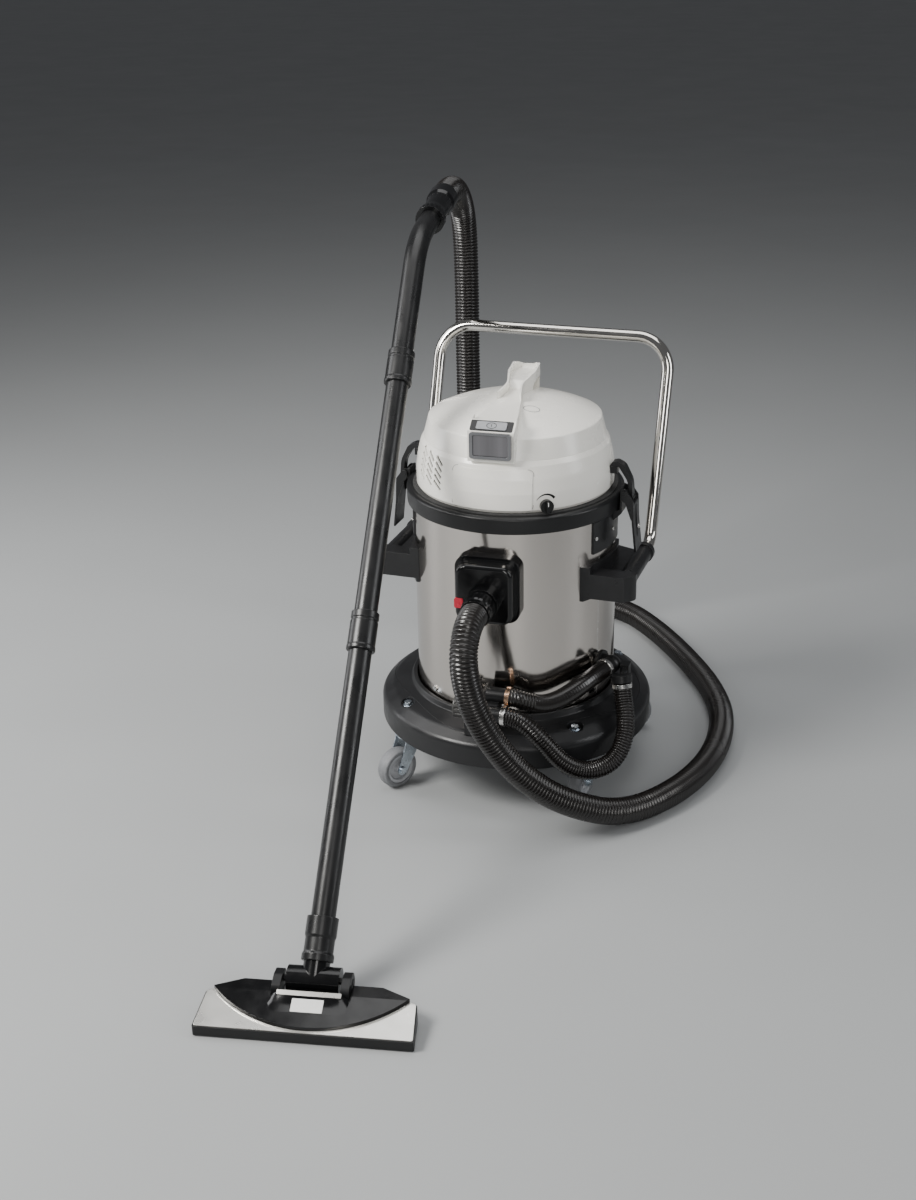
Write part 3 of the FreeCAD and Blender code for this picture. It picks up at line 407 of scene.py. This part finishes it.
# ---------------------------------------------------------------- hoses
def ribbed_hose(name, node, route, diameter, pitch, depth, smooth_from=None):
    """Corrugated hose along its route, nearly plain past smooth_from, a share of its length."""
    rib = [0.0, 0.30, 0.62, 0.90, 1.0, 0.90, 0.62, 0.30]
    rings = len(rib)
    points, length = evenly(spline_points(route, 24), pitch / rings)

    def radius_at(i):
        part = i / (len(points) - 1)
        level = rib[i % rings]
        if smooth_from is not None and part > smooth_from:
            level = 1.0 - 0.1 * (1 - level)
        return diameter / 2 - depth * (1 - level)

    made = tube(name, points, radius_at, "hose", 32, ROOT)
    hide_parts(node)


main_route = [
    head_at(0, -284.3, 412), at(17.6, -315, 412), at(19, -342, 395), at(20.7, -358, 365),
    at(25, -356, 318), at(37, -347, 262), at(66, -331, 195), at(112, -308, 128), at(176, -272, 72),
    at(258, -208, 28), at(333, -94, 24.4), at(371, 50, 24.4), at(361, 205, 24.4),
    at(312, 330, 24.4), at(235, 452, 24.4), at(150, 563, 24.4), at(60, 653, 24.4),
    at(-60, 688, 24.4), at(-160, 640, 24.4), at(-209, 556, 36), at(-223, 476, 102),
    at(-226, 428, 192), at(-225, 404, 310), at(-220, 397, 460), at(-221, 394, 640),
    at(-222, 398, 800), at(-223.5, 396, 921), at(-219.9, 354.4, 981.5), at(-212.6, 287.6, 1010),
    at(-205.54, 229.46, 999.66)]
drain_route = [
    at(47.3, -239, 207), at(69, -239, 207), at(97, -243, 195), at(126, -241, 166),
    at(150, -232, 132), at(178, -216, 108), at(209, -192, 101), at(233, -164, 111),
    at(243, -138, 141), at(238, -115, 177), at(228, -98, 204), at(224, -92, 226.7)]
link_route = [
    at(47.3, -211, 230), at(66, -211, 230), at(84, -206, 223), at(106, -195, 215),
    at(129, -177, 217), at(150, -153, 226), at(168, -125, 235), at(180, -96, 239.5),
    at(189.47, -68.65, 239.8)]
ribbed_hose("main_hose_ribbed", "main_hose", main_route, 0.048, 0.0064, 0.0022)
ribbed_hose("drain_hose_ribbed", "drain_hose", drain_route, 0.033, 0.0052, 0.0018)
ribbed_hose("link_hose_ribbed", "drain_link_hose", link_route, 0.033, 0.0052, 0.0012, 0.22)


# ---------------------------------------------------------------- small parts on the CAD surfaces
def struck(node, origin, direction):
    """Point and normal where a ray meets a CAD node."""
    target = nodes[node]
    back = target.matrix_world.inverted()
    start = back @ origin
    aim = (back @ (origin + direction) - start).normalized()
    hit, place, normal, _ = target.ray_cast(start, aim)
    if not hit:
        raise RuntimeError("no surface of %s there" % node)
    return target.matrix_world @ place, (target.matrix_world.to_3x3() @ normal).normalized()


def ribbon(name, stations, widths, look, body, closed, lift, sink=0.0008):
    """Raised band along stations, each a place and a surface normal; widths is one or a list."""
    count = len(stations)
    verts, faces = [], []
    for i, (place, normal) in enumerate(stations):
        if closed:
            ahead, behind = stations[(i + 1) % count][0], stations[i - 1][0]
        else:
            ahead, behind = stations[min(i + 1, count - 1)][0], stations[max(i - 1, 0)][0]
        side = normal.cross(ahead - behind).normalized()
        half = (widths[i] if isinstance(widths, list) else widths) / 2
        for across, up in ((-half, -sink), (-half, lift), (half, lift), (half, -sink)):
            verts.append(place + side * across + normal * up)
    for i in range(count if closed else count - 1):
        a, b = 4 * i, 4 * ((i + 1) % count)
        for k in range(4):
            faces.append((a + k, b + k, b + (k + 1) % 4, a + (k + 1) % 4))
    if not closed:
        faces += [(3, 2, 1, 0), (4 * count - 4, 4 * count - 3, 4 * count - 2, 4 * count - 1)]
    return piece(name, verts, faces, look, body)


def oval(origin, across, along, normal, a, b, steps=40):
    """Stations for a ribbon round an ellipse with half axes a and b."""
    stations = []
    for i in range(steps):
        angle = 2 * math.pi * i / steps
        place = origin + across * (a * math.cos(angle)) + along * (b * math.sin(angle))
        stations.append((place, normal))
    return stations


def clamp(name, start, axis, outer, look, inner=0.0160, length=0.008):
    """Plain clamp ring with softened rims about an axis."""
    axis = axis.normalized()
    side = axis.orthogonal().normalized()
    other = axis.cross(side)
    soft = min(0.0006, (outer - inner) / 3)
    profile = [(inner, 0), (outer - soft, 0), (outer, soft), (outer, length - soft),
               (outer - soft, length), (inner, length)]
    verts, faces = [], []
    steps = 48
    for k in range(steps):
        angle = 2 * math.pi * k / steps
        out = side * math.cos(angle) + other * math.sin(angle)
        verts += [start + out * r + axis * h for r, h in profile]
    n = len(profile)
    for k in range(steps):
        a, b = n * k, n * ((k + 1) % steps)
        faces += [(a + j, b + j, b + (j + 1) % n, a + (j + 1) % n) for j in range(n)]
    return piece(name, verts, faces, look)


def button_dome(name, place, normal, radius, height, look, body):
    """Low round rivet head on a surface."""
    side = normal.orthogonal().normalized()
    other = normal.cross(side)
    verts, faces = [], []
    levels = [(1.0, -0.3), (1.0, 0.25), (0.88, 0.62), (0.6, 0.88), (0.25, 1.0)]
    steps = 28
    for share, up in levels:
        for k in range(steps):
            angle = 2 * math.pi * k / steps
            out = side * math.cos(angle) + other * math.sin(angle)
            verts.append(place + out * (radius * share) + normal * (height * up))
    for j in range(len(levels) - 1):
        for k in range(steps):
            a, b = j * steps + k, j * steps + (k + 1) % steps
            faces.append((a, b, b + steps, a + steps))
    faces.append(tuple(reversed(range(steps))))
    faces.append(tuple(range((len(levels) - 1) * steps, len(levels) * steps)))
    return piece(name, verts, faces, look, body)


def slab_piece(name, outline, place, low, high, look, body=ROOT, hole=None):
    """Flat plate from an outline; place is its origin and its across, along and normal directions.

    A hole needs as many corners as the outline.
    """
    origin, across, along, normal = place

    def put(point, up):
        return origin + across * point[0] + along * point[1] + normal * up

    n = len(outline)
    verts = [put(p, low) for p in outline] + [put(p, high) for p in outline]
    faces = [(i, (i + 1) % n, n + (i + 1) % n, n + i) for i in range(n)]
    if hole is None:
        faces += [tuple(reversed(range(n))), tuple(range(n, 2 * n))]
    else:
        verts += [put(p, low) for p in hole] + [put(p, high) for p in hole]
        for i in range(n):
            j = (i + 1) % n
            faces += [(n + i, n + j, 3 * n + j, 3 * n + i), (j, i, 2 * n + i, 2 * n + j),
                      (2 * n + j, 2 * n + i, 3 * n + i, 3 * n + j)]
    return piece(name, verts, faces, look, body, smooth=False)


def rounded_corners(w0, w1, h0, h1, radius, steps=5):
    """Rounded rectangle from w0 to w1 and h0 to h1."""
    points = []
    for cx, cy, start in ((w1 - radius, h1 - radius, 0), (w0 + radius, h1 - radius, 90),
                          (w0 + radius, h0 + radius, 180), (w1 - radius, h0 + radius, 270)):
        for k in range(steps + 1):
            angle = math.radians(start + 90 * k / steps)
            points.append((cx + radius * math.cos(angle), cy + radius * math.sin(angle)))
    return points


def turned_by_head(x, y, z):
    """A direction in the head's own millimetres, in metres and turned with the head."""
    return head_at(x, y, z) - head_at(0, 0, 0)


# the switch facet's lower and upper edge in the CAD source: y and z in millimetres
FACET_LOW, FACET_HIGH = (-169, 693), (-150, 707)
facet_slope = math.atan2(FACET_HIGH[1] - FACET_LOW[1], FACET_HIGH[0] - FACET_LOW[0])
facet_centre = head_at(0, (FACET_LOW[0] + FACET_HIGH[0]) / 2, (FACET_LOW[1] + FACET_HIGH[1]) / 2)
facet_across = turned_by_head(1000, 0, 0)
facet_up = turned_by_head(0, 1000 * math.cos(facet_slope), 1000 * math.sin(facet_slope))
facet_normal = turned_by_head(0, -1000 * math.sin(facet_slope), 1000 * math.cos(facet_slope))
facet = (facet_centre, facet_across, facet_up, facet_normal)

# switch: black surround, and a generic mark on the button
slab_piece("switch_surround", rounded_corners(-0.0365, 0.0365, -0.0108, 0.0110, 0.0025), facet,
           -0.0004, 0.0005, "gloss_black",
           hole=rounded_corners(-0.0264, 0.0264, -0.0084, 0.0084, 0.0033))
BUTTON_RISE = 0.0018
mark = (facet_centre + facet_normal * BUTTON_RISE, facet_across, facet_up, facet_normal)
ribbon("power_mark_ring", oval(*mark, 0.0082, 0.0056), 0.0010, "gloss_black",
       "power_button_body", True, 0.0002, 0.0004)
slab_piece("power_mark_bar", rounded_corners(-0.0006, 0.0006, -0.0026, 0.0026, 0.0005), mark,
           -0.0004, 0.0002, "gloss_black", "power_button_body")


def on_head(node, degrees, z, reach=260.0):
    """Where a level ray to the head's axis meets a node, degrees round from the head's front."""
    a = math.radians(degrees)
    out = turned_by_head(math.sin(a) * reach, -math.cos(a) * reach, 0)
    return struck(node, head_at(0, 0, z) + out, -out)


# suction knob: an arrow that widens round the dial, and a light line on the grip
KNOB_DEGREES, BAND_RADIUS, ARC_RADIUS, ARC_Z, ARC_STEPS = 31, 175, 18.5, 566, 24
arc = []
for i in range(ARC_STEPS + 1):
    angle = math.radians(150 - 115 * i / ARC_STEPS)
    round_band = math.degrees(ARC_RADIUS * math.cos(angle) / BAND_RADIUS)
    height = ARC_Z + ARC_RADIUS * math.sin(angle)
    arc.append(on_head("head_band", KNOB_DEGREES + round_band, height))
arrow_widths = [0.0008 + 0.0037 * i / ARC_STEPS for i in range(ARC_STEPS + 1)]
ribbon("suction_arrow", arc, arrow_widths, "gloss_black", ROOT, False, 0.0002)
KNOB_TIP_RADIUS, KNOB_Z = 189, 565
knob_turn = math.radians(KNOB_DEGREES)
knob_axis = turned_by_head(1000 * math.sin(knob_turn), -1000 * math.cos(knob_turn), 0)
knob_tip = head_at(KNOB_TIP_RADIUS * math.sin(knob_turn),
                   -KNOB_TIP_RADIUS * math.cos(knob_turn), KNOB_Z)
slab_piece("suction_pointer", rounded_corners(-0.0008, 0.0008, 0.002, 0.0095, 0.0007),
           (knob_tip, knob_axis.cross(UP), UP, knob_axis), -0.0006, 0.00015, "label",
           "suction_knob_body")


def make_vent_painted_shade():
    """Dark sheet behind the vent slots, just inside the head's wall: painted shade, so the slots
    read dark.
    """
    profile = [(170.6, 572), (170.6, 585.7), (167.3, 609.4), (162.6, 628)]
    first, span, thickness, steps = -62, 36, 3.0, 14
    n = len(profile)
    verts, faces = [], []
    for depth in (0.0, thickness):
        for k in range(steps + 1):
            a = math.radians(first + span * k / steps)
            for r, z in profile:
                verts.append(head_at((r - depth) * math.sin(a), -(r - depth) * math.cos(a), z))
    inner = n * (steps + 1)
    for k in range(steps):
        low, top = k * n, k * n + n - 1
        for a in range(low, top):
            b = inner + a
            faces += [(a, a + n, a + n + 1, a + 1), (b + 1, b + n + 1, b + n, b)]
        faces += [(low + n, low, inner + low, inner + low + n),
                  (top, top + n, inner + top + n, inner + top)]
    for j in range(n - 1):
        a = steps * n + j
        faces += [(j, j + 1, inner + j + 1, inner + j), (a + 1, a, inner + a, inner + a + 1)]
    piece("vent_painted_shade", verts, faces, "foam", ROOT, False)


make_vent_painted_shade()

# fine line round the front panel
to_back = turned_by_head(0, 1000, 0)
panel_edge = []
for across, z in rounded_corners(-0.0705, 0.0705, 0.5556, 0.6272, 0.0100, 8):
    panel_edge.append(struck("head_band", head_at(across * 1000, -260, z * 1000), to_back))
ribbon("panel_line", panel_edge, 0.0009, "line", ROOT, True, 0.0002)

# blank oval badge on the dome
badge_outline = oval(head_at(43.4, -57.6, 760), facet_across, to_back, UP, 0.0140, 0.0100, 48)
badge = [struck("head_dome", place, DOWN) for place, _ in badge_outline]
ribbon("badge_rim", badge, 0.0011, "silver", ROOT, True, 0.0003)

# welded seam of the tank
SEAM_LOW, SEAM_RISE, SEAM_STEPS, SEAM_REACH = 171, 348, 30, 0.22
seam_turn = math.radians(-19.5)
seam_out = Vector((math.cos(seam_turn), math.sin(seam_turn), 0))
seam = []
for i in range(SEAM_STEPS + 1):
    height = SEAM_LOW + SEAM_RISE * i / SEAM_STEPS
    seam.append(struck("tank", at(0, 0, height) + seam_out * SEAM_REACH, -seam_out))
ribbon("tank_seam", seam, 0.0014, "steel", ROOT, False, 0.0001)

# moulded contour line that waves round the dolly's deck
CONTOUR_RADIUS, CONTOUR_WAVE, CONTOUR_STEPS = 0.2215, 0.0125, 240
contour = []
for i in range(CONTOUR_STEPS):
    angle = 2 * math.pi * i / CONTOUR_STEPS
    radius = CONTOUR_RADIUS - CONTOUR_WAVE * math.cos(4 * (angle - math.radians(45)))
    out = Vector((radius * math.cos(angle), radius * math.sin(angle), 0))
    contour.append(struck("base_dolly", at(0, 0, 240) + out, DOWN))
ribbon("deck_contour", contour, 0.0014, "dolly", ROOT, True, 0.0006)

# clamp rings at the ends of the drain and link hoses
along_x = Vector((1, 0, 0))
clamp("link_clamp", at(48.2, -211, 230), along_x, 0.0178, "copper")
clamp("drain_clamp", at(48.2, -239, 207), along_x, 0.0178, "steel")
drain_end = (drain_route[-1] - drain_route[-2]).normalized()
clamp("parked_clamp", drain_route[-1] - drain_end * 0.010, drain_end, 0.0179, "steel")
link_end = (link_route[-1] - link_route[-2]).normalized()
clamp("elbow_clamp", link_route[-1] - link_end * 0.0095, link_end, 0.0179, "steel")

# rivets of the latches
for side, sign in (("right", 1), ("left", -1)):
    out = Vector((sign, 0, 0))
    place, normal = struck("latch_lever_" + side, at(sign * 300, 11, 484), -out)
    button_dome("latch_rivet_" + side, place, normal, 0.0042, 0.0022, "steel",
                "latch_lever_%s_body" % side)

# floor nozzle: ramp up to the hinge, bright strip, blank label, trim along the bow
nozzle_turn = math.radians(11.3)
nozzle_across = Vector((math.cos(nozzle_turn), math.sin(nozzle_turn), 0))
nozzle_back = Vector((-math.sin(nozzle_turn), math.cos(nozzle_turn), 0))
nozzle_start = at(-60 + 95 * math.sin(nozzle_turn), -815 - 95 * math.cos(nozzle_turn), 0)


def nozzle_at(u, v, z):
    """A place in the nozzle's own millimetres: u across it, v back from its front edge."""
    across, back = nozzle_across * (u / 1000), nozzle_back * (v / 1000)
    return nozzle_start + across + back + Vector((0, 0, z / 1000))


def nozzle_top(node, u, v):
    """Where a ray from above meets a node of the nozzle."""
    return struck(node, nozzle_at(u, v, 200), DOWN)


def make_ramp():
    """Faired rise of the cover in front of the hinge: rows of v, half width and crown height."""
    rows = [(30, 78, 31.0), (40, 75, 34.5), (50, 70, 40.0), (58, 66, 46.0), (60, 65, 47.5)]
    steps, foot_z = 16, 26
    verts, faces = [], []
    for v, half, z in rows:
        for i in range(steps + 1):
            share = 2 * i / steps - 1
            drop = (z - foot_z) * abs(share) ** 6
            verts.append(nozzle_at(share * half, v, z - drop))
    w = steps + 1
    last = (len(rows) - 1) * w
    for a in range(0, last, w):
        faces += [(a + i, a + i + 1, a + w + i + 1, a + w + i) for i in range(steps)]
    v, half, _ = rows[-1]
    corner_z = 24 + 0.19 * v
    verts += [nozzle_at(-half, v, corner_z), nozzle_at(half, v, corner_z)]
    faces.append((*range(last, last + w), last + w + 1, last + w))
    piece("nozzle_ramp", verts, faces, "gloss_black", "nozzle_head", True)


make_ramp()
strip_up = (nozzle_at(0, 58, 46) - nozzle_at(0, 50, 40)).normalized()
slab_piece("hinge_strip", rounded_corners(-0.048, 0.048, -0.0035, 0.0035, 0.001),
           (nozzle_at(0, 56.5, 45.4), nozzle_across, strip_up, nozzle_across.cross(strip_up)),
           -0.0004, 0.0006, "plate", "nozzle_head")
label_up = (nozzle_at(0, 50, 40) - nozzle_at(0, 32, 31.8)).normalized()
slab_piece("blank_label", rounded_corners(-0.0235, 0.0235, -0.0105, 0.0105, 0.001),
           (nozzle_at(0, 41, 35.9), nozzle_across, label_up, nozzle_across.cross(label_up)),
           -0.0012, 0.0005, "label", "nozzle_head")
BOW_HALF, BOW_CENTRE, BOW_RADIUS, BOW_STEPS = 141, 201, 197.3, 60
bow = []
for i in range(BOW_STEPS + 1):
    u = -BOW_HALF + 2 * BOW_HALF * i / BOW_STEPS
    bow.append(nozzle_top("nozzle_plate", u, BOW_CENTRE - math.sqrt(BOW_RADIUS ** 2 - u ** 2)))
ribbon("nozzle_trim", bow, 0.0022, "plate", "nozzle_head", False, 0.0012)


# ---------------------------------------------------------------- floor and lights
def make_stage():
    size = 60.0
    corners = [(-size, -size, 0), (size, -size, 0), (size, size, 0), (-size, size, 0)]
    floor = piece("floor", corners, [(0, 1, 2, 3)], "strip", ROOT, False)
    look = Look("studio_floor", (0.36, 0.37, 0.374), 0.55).tint(0.8, 0.02).wear(3, 0.05)
    floor.data.materials.clear()
    floor.data.materials.append(look.material)
    floor.parent = None
    del floor["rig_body"]


def area_light(name, place, target, size, power, colour=(1, 1, 1)):
    """Soft rectangular light that faces its target; size is width and height in metres."""
    data = bpy.data.lights.new(name, "AREA")
    data.shape = "RECTANGLE"
    data.size, data.size_y = size
    data.energy = power
    data.color = colour
    light = bpy.data.objects.new(name, data)
    bpy.context.scene.collection.objects.link(light)
    light.location = place
    light.rotation_euler = (Vector(target) - Vector(place)).to_track_quat("-Z", "Y").to_euler()


make_stage()
area_light("key", (-1.9, -1.6, 2.6), (0, 0.2, 0.4), (1.2, 1.2), 150, (1.0, 0.985, 0.955))
area_light("front", (1.1, -3.1, 1.9), (0, 0.2, 0.4), (0.9, 1.9), 40, (1.0, 0.985, 0.96))
area_light("left", (-2.3, 0.2, 1.3), (0, 0.3, 0.4), (0.7, 2.2), 24, (0.99, 0.99, 1.0))
area_light("right", (2.6, 0.3, 1.6), (0, 0.3, 0.5), (0.7, 2.0), 26, (0.97, 0.985, 1.0))
area_light("top", (0.0, 0.6, 3.4), (0, 0.3, 0.0), (2.4, 2.4), 45)
world = bpy.data.worlds.new("studio")
world.use_nodes = True
background = world.node_tree.nodes["Background"]
background.inputs["Color"].default_value = (0.55, 0.56, 0.585, 1)
background.inputs["Strength"].default_value = 0.20
bpy.context.scene.world = world
